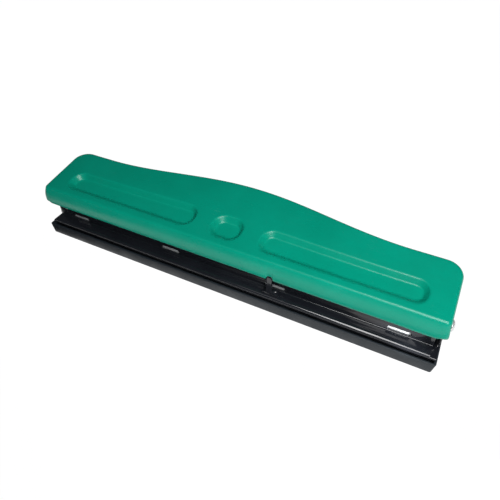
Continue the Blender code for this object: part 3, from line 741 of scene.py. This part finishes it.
def build_handle_stop():
    """Upright tab riveted to the upper jaw. Its round top sits in the notch of the handle's lip at rest."""
    low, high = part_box("handle_stop")
    half_tab = NOTCH_RADIUS - 0.0005
    shoulder = low.z + SHEET
    outline = [
        (low.x, low.z),
        (high.x, low.z),
        *fillet(
            [
                (high.x, low.z + 0.0001),
                (high.x, shoulder),
                (NOTCH_X + half_tab, shoulder + 0.0022),
                (NOTCH_X + half_tab, high.z - half_tab),
            ],
            0.0005,
            4,
        ),
        *arc((NOTCH_X, high.z - half_tab), half_tab, 4, 176, 20),
        (NOTCH_X - half_tab, shoulder + 0.0010),
        (low.x, shoulder),
    ]
    stop = scene_object("handle_stop_tab", extruded(outline, SHEET, facing_front(low.y + SHEET / 2)))
    carve(stop, box_mesh((low.x, low.y + SHEET / 2, low.z), (high.x, high.y, shoulder)), "UNION")
    rivet = middle("stop_rivet")
    ends = (rivet.x, rivet.y, low.z - 0.002), (rivet.x, rivet.y, low.z + 0.004)
    carve(stop, rods_mesh([(SMALL_RIVET_HOLE, *ends)]))
    round_edges(stop, FINE_EDGE)
    install(stop, "handle_stop", "black_paint")


# ---------------------------------------------------------------- punch units


def build_bracket(number, x):
    """Bent guide with a front web and two arms, each with a hole for the pin."""
    node = f"guide_bracket_{number}"
    low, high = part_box(node)
    half = SHEET / 2
    web, foot, top = low.y + half, low.z + half, high.z - half
    path = [(high.y, foot), (web, foot), (web, top), (high.y, top)]
    bracket = scene_object(f"pin_guide_{number}", extruded(sheet_outline(path), high.x - low.x, along_x(x)))
    rods = [(PIN_RADIUS + GAP / 2, (x, PIN_Y, low.z - 0.002), (x, PIN_Y, high.z + 0.002))]
    for rivet in (middle(f"bracket_rivet_{2 * number - 1}"), middle(f"bracket_rivet_{2 * number}")):
        ends = (rivet.x, rivet.y, high.z - 0.004), (rivet.x, rivet.y, high.z + 0.002)
        rods.append((SMALL_RIVET_HOLE, *ends))
    carve(bracket, rods_mesh(rods))
    round_edges(bracket, FINE_EDGE)
    install(bracket, node, "bright_plate", finish="dull_zinc")


def build_pin(number, x):
    """Pin with a crowned head, a groove for its clip and a hollow-ground tip."""
    low, high = PINS[number - 1]
    head = (high.x - low.x) / 2
    clip_low, clip_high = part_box(f"retaining_clip_{number}")
    groove_top = clip_high.z + GAP
    groove_bottom = clip_low.z - GAP
    lip = 0.00012
    crown, hollow = 0.0012, 0.0012
    profile = [(0, high.z)]
    profile += [(head * share, high.z - crown * share * share) for share in (0.15, 0.35, 0.55, 0.75, 0.92)]
    profile += [
        (head, high.z - 0.0014),
        (head, high.z - HEAD_THICKNESS + lip),
        (head - lip, high.z - HEAD_THICKNESS),
        (PIN_RADIUS, high.z - HEAD_THICKNESS),
        (PIN_RADIUS, groove_top + lip),
        (PIN_RADIUS - lip, groove_top),
        (PIN_RADIUS - GROOVE_DEPTH, groove_top),
        (PIN_RADIUS - GROOVE_DEPTH, groove_bottom),
        (PIN_RADIUS - lip, groove_bottom),
        (PIN_RADIUS, groove_bottom - lip),
        (PIN_RADIUS, low.z),
    ]
    profile += [(PIN_RADIUS * share, low.z + hollow * (1 - share)) for share in (0.9, 0.6, 0.3)]
    profile.append((0, low.z + hollow))
    pin = scene_object(f"pin_{number}", turned_mesh(profile))
    pin.location = (x, PIN_Y, 0)
    install(pin, f"punch_pin_{number}", "tool_steel", sharp=30)


def build_clip(number, x):
    """Retaining clip: an open ring with round ends, pressed into the pin's groove."""
    low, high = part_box(f"retaining_clip_{number}")
    inner_radius = PIN_RADIUS - GROOVE_DEPTH + GAP
    outer_radius = high.x - x
    middle_radius = (inner_radius + outer_radius) / 2
    width = (outer_radius - inner_radius) / 2
    tips = [Vector((math.cos(a), math.sin(a))) * middle_radius for a in map(math.radians, (60, 120))]
    outline = arc((0, 0), outer_radius, 120, 420, 48)
    outline += arc(tips[0], width, 60, 240, 8)[1:-1]
    outline += arc((0, 0), inner_radius, 420, 120, 48)
    outline += arc(tips[1], width, -60, 120, 8)[1:-1]
    place = Matrix.Translation((x, PIN_Y, (low.z + high.z) / 2))
    clip = scene_object(f"pin_clip_{number}", extruded(outline, CLIP_THICKNESS, place))
    install(clip, f"retaining_clip_{number}", "spring_steel")


def build_spring(number, x):
    """Coil with closed ends, standing on the channel's roof."""
    node = f"return_spring_{number}"
    low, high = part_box(node)
    bottom, top = low.z + SPRING_WIRE, high.z - SPRING_WIRE
    per_turn = 28
    count = round(SPRING_TURNS * per_turn) + 1
    curve = bpy.data.curves.new(node, "CURVE")
    curve.dimensions = "3D"
    curve.bevel_depth = SPRING_WIRE
    curve.bevel_resolution = 3
    curve.use_fill_caps = True
    spline = curve.splines.new("POLY")
    spline.points.add(count - 1)
    closed_end = 0.9 * 2 * SPRING_WIRE
    for index, point in enumerate(spline.points):
        turn = index / per_turn
        open_share = min(max((turn - 1) / (SPRING_TURNS - 2), 0), 1)
        flat_turns = min(turn, 1) + max(turn - SPRING_TURNS + 1, 0)
        height = bottom + closed_end * flat_turns + (top - bottom - 2 * closed_end) * open_share
        angle = math.tau * turn
        point.co = (SPRING_RADIUS * math.cos(angle), SPRING_RADIUS * math.sin(angle), height, 1)
    guide = scene_object("coil", curve)
    bpy.context.view_layer.update()
    mesh = bpy.data.meshes.new_from_object(guide.evaluated_get(bpy.context.evaluated_depsgraph_get()))
    bpy.data.objects.remove(guide)
    spring = scene_object(f"coil_spring_{number}", mesh)
    spring.location = (x, PIN_Y, 0)
    install(spring, node, "spring_steel", sharp=60)
    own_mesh(spring)


# ---------------------------------------------------------------- handle


def bell(x, half_width):
    """Raised cosine: 1 in the middle, 0 from half_width outward."""
    if abs(x) >= half_width:
        return 0.0
    return 0.5 + 0.5 * math.cos(math.pi * x / half_width)


def lip_drop(x):
    """How far the front lip hangs below the panel's top, with round lower ends and the stop's notch."""
    drop = LIP_DROP
    past = abs(x) - (HALF_LENGTH - LIP_END_RADIUS)
    if past > 0:
        drop -= LIP_END_RADIUS - math.sqrt(max(LIP_END_RADIUS**2 - past**2, 0))
    aside = abs(x - NOTCH_X)
    if aside < NOTCH_RADIUS:
        drop -= math.sqrt(NOTCH_RADIUS**2 - aside**2)
    return drop


def lip_share(normal):
    """How far the rim at this normal angle belongs to the flared lip: 1 in front, 0 at the sides."""
    share = min(max((-math.sin(normal) - 0.35) / 0.45, 0.0), 1.0)
    return share * share * (3 - 2 * share)


def side_drop(v):
    """How far a side flange hangs: a rim that swells into an ear round the pivot."""
    return RIM_DROP + EAR_DROP * math.exp(-(((v - 0.001) / EAR_SPREAD) ** 2))


def rear_edge(x):
    """Rear outline of the panel: its place and the angle of its outward normal."""
    v = PANEL_REAR + REAR_BULGE * bell(x, REAR_BULGE_HALF_WIDTH)
    step = 1e-5
    ahead = PANEL_REAR + REAR_BULGE * bell(x + step, REAR_BULGE_HALF_WIDTH)
    return v, math.atan2(step, v - ahead)


def right_rim():
    """Half of the handle's rim, from its front middle to its rear middle: (x, v, drop, normal angle)."""
    front = math.radians(-90)
    lip_end = HALF_LENGTH - LIP_END_RADIUS
    corner_start = HALF_LENGTH - FRONT_CORNER
    rim = [(x, PANEL_FRONT, lip_drop(x), front) for x in (0.0, 0.020, 0.055, 0.080, 0.105, 0.125, lip_end)]
    for step in range(1, 4):
        x = lip_end + (corner_start - lip_end) * step / 4
        rim.append((x, PANEL_FRONT, lip_drop(x), front))
    first = lip_drop(corner_start)
    last = side_drop(PANEL_FRONT + FRONT_CORNER)
    steps = 12
    corner = arc((corner_start, PANEL_FRONT + FRONT_CORNER), FRONT_CORNER, -90, 0, steps)
    for step, point in enumerate(corner):
        drop = first + (last - first) * step / steps
        rim.append((point.x, point.y, drop, math.radians(90 * step / steps - 90)))
    side_start = PANEL_FRONT + FRONT_CORNER
    side_end = PANEL_REAR - REAR_CORNER
    for step in range(1, 28):
        v = side_start + (side_end - side_start) * step / 28
        rim.append((HALF_LENGTH, v, side_drop(v), 0.0))
    steps = 16
    corner = arc((HALF_LENGTH - REAR_CORNER, PANEL_REAR - REAR_CORNER), REAR_CORNER, 0, 90, steps)
    for step, point in enumerate(corner):
        rim.append((point.x, point.y, RIM_DROP, math.radians(90 * step / steps)))
    for step in range(1, 41):
        x = REAR_BULGE_HALF_WIDTH * (1 - step / 40)
        v, normal = rear_edge(x)
        rim.append((x, v, RIM_DROP, normal))
    return rim


def full_rim():
    """The whole rim, counter-clockwise from the middle of the front, with the notch's points put in."""
    right = right_rim()
    left = [(-x, v, drop, math.pi - normal) for x, v, drop, normal in right[-2:0:-1]]
    notch = []
    for step in range(21):
        x = NOTCH_X - NOTCH_RADIUS * math.cos(math.pi * step / 20)
        notch.append((x, PANEL_FRONT, lip_drop(x), math.radians(-90)))
    return right[:2] + notch + right[2:] + left


def rim_rings():
    """Rings from just inside the panel's edge, round the bend, down to the flange's lower edge."""
    rim = full_rim()
    lean = [LIP_FLARE * lip_share(normal) for _, _, _, normal in rim]

    def ring(section):
        points = []
        for (x, v, drop, normal), flare in zip(rim, lean):
            out, down = section(drop, flare)
            points.append((x + math.cos(normal) * out, v + math.sin(normal) * out, PANEL_TOP - down))
        return points

    def bend(share):
        def section(drop, flare):
            angle = (math.pi / 2 - math.atan(flare) - LIP_CROWN * flare / LIP_FLARE) * share
            return RIM_BEND * (math.sin(angle) - 1), RIM_BEND * (1 - math.cos(angle))

        return section

    def flange(share):
        """The flared lip is slightly crowned: it goes on turning down towards its edge."""

        def section(drop, flare):
            crown = LIP_CROWN * flare / LIP_FLARE
            angle = math.pi / 2 - math.atan(flare) - crown
            start = Vector(bend(1.0)(drop, flare))
            end = Vector((flare * (drop - RIM_BEND), drop))
            reach = (end - start).length / (2 * math.cos(crown))
            pull = start + Vector((math.cos(angle), math.sin(angle))) * reach
            return start.lerp(pull, share).lerp(pull.lerp(end, share), share)

        return section

    rings = [ring(lambda drop, flare: (-RIM_BEND - 0.0002, 0.0))]
    rings += [ring(bend(step / 8)) for step in range(9)]
    rings += [ring(flange(share)) for share in (0.08, 0.25, 0.45, 0.65, 0.85, 1.0)]
    return rings


def recess_steps():
    """(inset, depth) down a recess's wall: round brink, slope, round foot."""
    steps = [(-0.0004, 0.0)]
    for step in range(7):
        angle = RECESS_SLOPE * step / 6
        steps.append((RECESS_ROUND * math.sin(angle), RECESS_ROUND * (1 - math.cos(angle))))
    round_in, round_down = steps[-1]
    slope = (RECESS_DEPTH - 2 * round_down) / math.tan(RECESS_SLOPE)
    foot_in = 2 * round_in + slope
    for step in range(7):
        angle = RECESS_SLOPE * (1 - step / 6)
        inset = foot_in - RECESS_ROUND * math.sin(angle)
        steps.append((inset, RECESS_DEPTH - RECESS_ROUND * (1 - math.cos(angle))))
    steps.append((foot_in + 0.0003, RECESS_DEPTH))
    return steps


def recess_ring(span, inset, depth):
    """One ring of a pressed recess. Its far side follows the handle's rear edge, its near wall is gentler."""
    left, right = span
    near = RECESS_NEAR + RECESS_CORNER
    far = RECESS_FAR - RECESS_CORNER
    radius = RECESS_CORNER - inset
    points = []
    corners = (
        (right - RECESS_CORNER, near, -90),
        (right - RECESS_CORNER, far, 0),
        (left + RECESS_CORNER, far, 90),
        (left + RECESS_CORNER, near, 180),
    )
    for x, v, start in corners:
        points += arc((x, v), radius, start, start + 90, 12)
        if start == 0 and right - left > 0.05:
            run = left - right + 2 * RECESS_CORNER
            points += [Vector((x + run * step / 16, far + radius)) for step in range(1, 16)]
    ring = []
    for point in points:
        reach = (point.y - RECESS_NEAR) / (RECESS_FAR - RECESS_NEAR)
        spread = RECESS_FAR_BULGE * bell(point.x, REAR_BULGE_HALF_WIDTH) * reach
        spread += NEAR_WALL_STRETCH * inset * (1 - reach)
        ring.append((point.x, PANEL_FRONT + point.y + spread, PANEL_TOP - depth))
    return ring


def ring_edges(bm, ring):
    """The ring's edges, made where they are missing."""
    edges = []
    for index, vert in enumerate(ring):
        other = ring[(index + 1) % len(ring)]
        edges.append(bm.edges.get((vert, other)) or bm.edges.new((vert, other)))
    return edges


def build_handle():
    """Pressed sheet: flat panel with three recesses, a flared front lip, and a turned-down rim."""
    bm = bmesh.new()
    panel_edge, _ = add_rings(bm, rim_rings())
    open_edges = ring_edges(bm, panel_edge)
    for span in RECESS_SPANS:
        rings = [recess_ring(span, inset, depth) for inset, depth in recess_steps()]
        brink, floor = add_rings(bm, rings)
        open_edges += ring_edges(bm, brink)
        bmesh.ops.triangle_fill(bm, use_beauty=True, edges=ring_edges(bm, floor))
    bmesh.ops.triangle_fill(bm, use_beauty=True, edges=open_edges)
    mesh = mesh_from(bm, "handle_pressing")
    if sum(face.normal.z * face.area for face in mesh.polygons) < 0:
        mesh.flip_normals()
    mesh.transform(Matrix.Translation(PIVOT) @ Matrix.Rotation(TILT, 4, "X"))
    handle = scene_object("handle_pressing", mesh)
    shell = handle.modifiers.new("sheet", "SOLIDIFY")
    shell.thickness = SHEET
    shell.offset = -1
    shell.use_even_offset = True
    apply_modifiers(handle)
    rods = []
    for side in (-1, 1):
        rods.append((PIVOT_HOLE, (side * 0.140, PIVOT.y, PIVOT.z), (side * 0.148, PIVOT.y, PIVOT.z)))
    carve(handle, rods_mesh(rods))
    round_edges(handle, HANDLE_EDGE)
    install(handle, "handle", "green_paint")


def dome(radius, height, seat, steps=10):
    """Profile of a round head from its top to its seat, with a small rolled edge."""
    points = []
    for step in range(1, steps + 1):
        turn = math.radians(84) * step / steps
        points.append((radius * math.sin(turn), seat + height * math.cos(turn)))
    return [(0, seat + height), *points, (radius, seat + 0.04 * height), (radius * 0.97, seat)]


def build_upright_rivet(node, shank, head_height, slot="bright_plate"):
    """Round-headed rivet, its tail set in a flat button under the sheets."""
    low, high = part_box(node)
    head = (high.x - low.x) / 2
    seat = high.z - head_height
    tail_height = 0.55 * head_height
    tail = head * 0.85
    profile = [
        *dome(head, head_height, seat),
        (shank, seat),
        (shank, low.z + tail_height),
        (tail, low.z + tail_height),
        (tail * 0.9, low.z + 0.4 * tail_height),
        (tail * 0.5, low.z + 0.08 * tail_height),
        (0, low.z),
    ]
    centre = middle(node)
    rivet = scene_object(f"{node}_body", turned_mesh(profile, 32))
    rivet.location = (centre.x, centre.y, 0)
    install(rivet, node, slot, sharp=50)


def build_pivot(name, side):
    """The headed rivet at one end, and the washer between ear and handle."""
    node = f"pivot_rivet_{name}"
    low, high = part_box(node)
    washer_low, washer_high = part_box(f"pivot_washer_{name}")
    length = high.x - low.x
    head_height = 0.0020
    seat = length - head_height
    tail_height = 0.55 * head_height
    head = (high.z - low.z) / 2
    profile = [
        *dome(head, head_height, seat, 14),
        (PIVOT_SHANK, seat),
        (PIVOT_SHANK, tail_height),
        (head * 0.85, tail_height),
        (head * 0.76, 0.4 * tail_height),
        (head * 0.4, 0.08 * tail_height),
        (0, 0),
    ]
    rivet = scene_object(f"{node}_body", turned_mesh(profile, 56))
    rivet.rotation_euler = (0, side * math.pi / 2, 0)
    rivet.location = (low.x if side > 0 else high.x, PIVOT.y, PIVOT.z)
    install(rivet, node, "bright_plate", sharp=50)

    outer, inner = (washer_high.z - washer_low.z) / 2, PIVOT_SHANK + GAP
    half = (washer_high.x - washer_low.x) / 2
    soft = 0.0001
    section = [(outer - soft, half), (outer, half - soft), (outer, soft - half), (outer - soft, -half)]
    section += [(inner, -half), (inner, half)]
    rings = []
    for radius, x in section:
        angles = [math.tau * step / 48 for step in range(48)]
        rings.append([(x, radius * math.cos(a), radius * math.sin(a)) for a in angles])
    bm = bmesh.new()
    add_rings(bm, [*rings, rings[0]])
    bmesh.ops.remove_doubles(bm, verts=bm.verts, dist=1e-7)
    washer = scene_object(f"washer_{name}", mesh_from(bm, f"washer_{name}"))
    washer.location = ((washer_low.x + washer_high.x) / 2, PIVOT.y, PIVOT.z)
    install(washer, f"pivot_washer_{name}", "white_nylon")


build_tray()
build_die_plate()
build_channel()
for name, side in (("left", -1), ("right", 1)):
    build_end_cheek(f"end_cheek_{name}", side)
    build_pivot(name, side)
build_handle_stop()
for number, x in enumerate(PIN_XS, 1):
    build_bracket(number, x)
    build_pin(number, x)
    build_clip(number, x)
    build_spring(number, x)
build_handle()
RIVETS = (
    ("channel_rivet", 5, 0.0015, 0.0012),
    ("cheek_rivet", 2, 0.0015, 0.0012),
    ("bracket_rivet", 8, 0.0012, 0.0010),
)
for stem, count, shank, head_height in RIVETS:
    for number in range(1, count + 1):
        build_upright_rivet(f"{stem}_{number}", shank, head_height)
build_upright_rivet("stop_rivet", 0.0012, 0.0009, "black_paint")


# ---------------------------------------------------------------- stage


def white_card(name):
    """Paper white that glows a little, so that it stays pale under soft light."""
    finish = Finish(name, roughness=0.9)
    paper = finish.noise(0.3, 2.0)
    finish.set("Base Color", finish.mixed(paper, (0.050, 0.050, 0.050), (0.065, 0.065, 0.065)))
    finish.set("Emission Color", (1.0, 1.0, 1.0, 1.0))
    finish.set("Emission Strength", 1.0)
    return finish.material


def build_floor():
    bm = bmesh.new()
    bmesh.ops.create_grid(bm, x_segments=1, y_segments=1, size=ROOM)
    floor = scene_object("floor", mesh_from(bm, "floor"))
    floor.location.z = CAD_BOX[0].z - 0.0001
    floor.data.materials.append(white_card("floor_white"))


def build_backdrop():
    """Pale wall far behind, all round, which gives the punch no light and no reflections."""
    bm = bmesh.new()
    bmesh.ops.create_cone(bm, cap_ends=False, segments=64, radius1=ROOM, radius2=ROOM, depth=2 * ROOM)
    wall = scene_object("backdrop", mesh_from(bm, "backdrop"))
    wall.data.materials.append(white_card("backdrop_white"))
    wall.visible_diffuse = False
    wall.visible_glossy = False
    wall.visible_transmission = False
    wall.visible_shadow = False


def add_flag(name, length, depth, y, degrees):
    """Black card on the floor before the punch, unseen, which keeps the front from glaring.

    Its rear edge crosses the middle of the punch at y, turned by the degrees.
    """
    flag = scene_object(name, box_mesh((-length / 2, -depth, 0.0), (length / 2, 0.0, 0.001)))
    flag.location.y = y
    flag.rotation_euler.z = math.radians(degrees)
    finish = Finish(f"{name}_black", roughness=1.0)
    finish.set("Base Color", finish.mixed(finish.noise(0.05), (0.010, 0.010, 0.010), (0.016, 0.016, 0.016)))
    flag.data.materials.append(finish.material)
    flag.visible_camera = False


def place_light(name, data, place, target):
    light = scene_object(name, data)
    light.location = place
    light.rotation_euler = (Vector(target) - Vector(place)).to_track_quat("-Z", "Y").to_euler()


def add_softbox(name, place, target, size, watts):
    data = bpy.data.lights.new(name, "AREA")
    data.shape = "RECTANGLE"
    data.size, data.size_y = size
    data.energy = watts
    place_light(name, data, place, target)


def add_snoot(name, place, target, degrees, watts):
    """Narrow low beam."""
    data = bpy.data.lights.new(name, "SPOT")
    data.spot_size = math.radians(degrees)
    data.spot_blend = 0.6
    data.shadow_soft_size = 0.004
    data.energy = watts
    place_light(name, data, place, target)


def light_scene():
    """A key from the front right, a weak fill from above and a beam for the bracket in the last window."""
    add_softbox("key", (0.205, -0.23, 0.36), (0.06, -0.01, 0.03), (0.24, 0.34), 2.3)
    add_softbox("overhead", (0.06, -0.42, 0.80), (0.0, 0.0, 0.03), (0.60, 0.30), 0.5)
    add_snoot("snoot", (0.30, -0.20, 0.05), (PIN_XS[-1], WALL_Y, WINDOW_Z), 4.5, 8.0)
    world = bpy.data.worlds.new("room")
    world.use_nodes = True
    background = world.node_tree.nodes["Background"]
    background.inputs["Color"].default_value = (0.85, 0.92, 1.0, 1.0)
    background.inputs["Strength"].default_value = 0.03
    bpy.context.scene.world = world
    bpy.context.scene.view_settings.view_transform = "Standard"


def add_camera():
    """Above the front right, looking down along the punch."""
    data = bpy.data.cameras.new("camera")
    data.lens = 33.12
    data.sensor_width = 36.0
    camera = scene_object("camera", data)
    camera.location = (0.1146, FRONT_Y - 0.1782, 0.2341)
    camera.rotation_euler = (math.radians(47.19), 0.0, math.radians(26.23))
    bpy.context.scene.camera = camera


build_floor()
build_backdrop()
add_flag("flag", 1.80, 1.60, -0.18, -28)
add_flag("strip", 0.38, 0.02, -0.038, -2.5)
light_scene()
add_camera()
